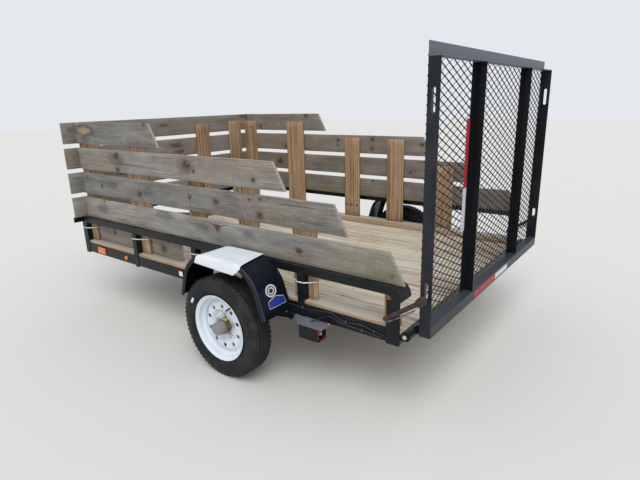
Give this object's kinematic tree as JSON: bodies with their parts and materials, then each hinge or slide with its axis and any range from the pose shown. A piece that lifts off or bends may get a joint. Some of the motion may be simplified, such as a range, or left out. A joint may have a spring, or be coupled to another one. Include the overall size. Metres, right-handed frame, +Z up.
{
  "type": "utility trailer",
  "caption": "Single-axle utility trailer: open steel frame, stepped timber side walls, timber floor, upright mesh ramp gate, fenders, ball coupler and tongue jack.",
  "frame": {"origin": "on the ground, below the middle of the overall length and width", "axes": "+X forwards to the coupler, +Y to the trailer's left, +Z up"},
  "size_m": [3.8034, 2.068, 1.548],
  "materials": {
    "black_paint": "semi-gloss, dusty and chipped",
    "grey_paint": "satin, worn",
    "zinc": "dull zinc plate",
    "weathered_boards": "weathered grey, knots and stains",
    "treated_timber": "orange-brown treated timber",
    "floor_timber": "pale weathered timber",
    "tyre": "matte rubber",
    "white_rim": "gloss white, dusty",
    "hub_steel": "rusty casting with a grey cap",
    "lamp_case": "dusty black",
    "red_lens": "ribbed lens",
    "amber_lens": "ribbed reflector"
  },
  "bodies": {
    "trailer": {"axle": "black_paint", "coupler": "black_paint", "coupler_latch": "zinc", "cross_members": "black_paint", "fender_left": "black_paint", "fender_right": "black_paint", "floor_deck": "floor_timber", "front_rail": "black_paint", "front_top_rail": "black_paint", "gate_latch_left": "black_paint", "gate_latch_right": "black_paint", "jack_crank": "zinc", "jack_tube": "black_paint", "kick_board": "weathered_boards", "leaf_spring_left": "black_paint", "leaf_spring_right": "black_paint", "markers_left": "amber_lens", "markers_right": "amber_lens", "planks_front": "weathered_boards", "planks_left": "weathered_boards", "planks_right": "weathered_boards", "rear_rail": "black_paint", "side_hoop_left": "black_paint", "side_hoop_right": "black_paint", "side_rail_left": "black_paint", "side_rail_right": "black_paint", "sill_left": "treated_timber", "sill_right": "treated_timber", "spring_hangers_left": "black_paint", "spring_hangers_right": "black_paint", "stakes_front": "treated_timber", "stakes_left": "treated_timber", "stakes_right": "treated_timber", "tail_lamp_left": "lamp_case", "tail_lamp_right": "lamp_case", "tail_lens_left": "red_lens", "tail_lens_right": "red_lens", "tongue_leg_left": "black_paint", "tongue_leg_right": "black_paint", "uprights_left": "black_paint", "uprights_right": "black_paint"},
    "ramp_gate": {"gate_hinges": "black_paint", "gate_frame": "black_paint", "gate_mid_posts": "black_paint", "gate_top_bar": "grey_paint", "gate_mesh": "black_paint"},
    "wheel_left": {"tyre_left": "tyre", "rim_left": "white_rim", "hub_left": "hub_steel"},
    "wheel_right": {"tyre_right": "tyre", "rim_right": "white_rim", "hub_right": "hub_steel"},
    "jack_slide": {"jack_leg": "zinc"}
  },
  "joints": [
    {"name": "gate_hinge", "type": "hinge", "parent": "trailer", "child": "ramp_gate", "pos_m": [-1.80625, 0, 0.412], "axis": [0, -1, 0], "range_deg": [0, 106]},
    {"name": "wheel_left_spin", "type": "hinge", "parent": "trailer", "child": "wheel_left", "pos_m": [-0.86525, 0.962, 0.268], "axis": [0, 1, 0], "continuous": true},
    {"name": "wheel_right_spin", "type": "hinge", "parent": "trailer", "child": "wheel_right", "pos_m": [-0.86525, -0.962, 0.268], "axis": [0, 1, 0], "continuous": true},
    {"name": "jack_slide", "type": "slide", "parent": "trailer", "child": "jack_slide", "axis": [0, 0, 1], "range_m": [-0.04, 0.21]}
  ]
}
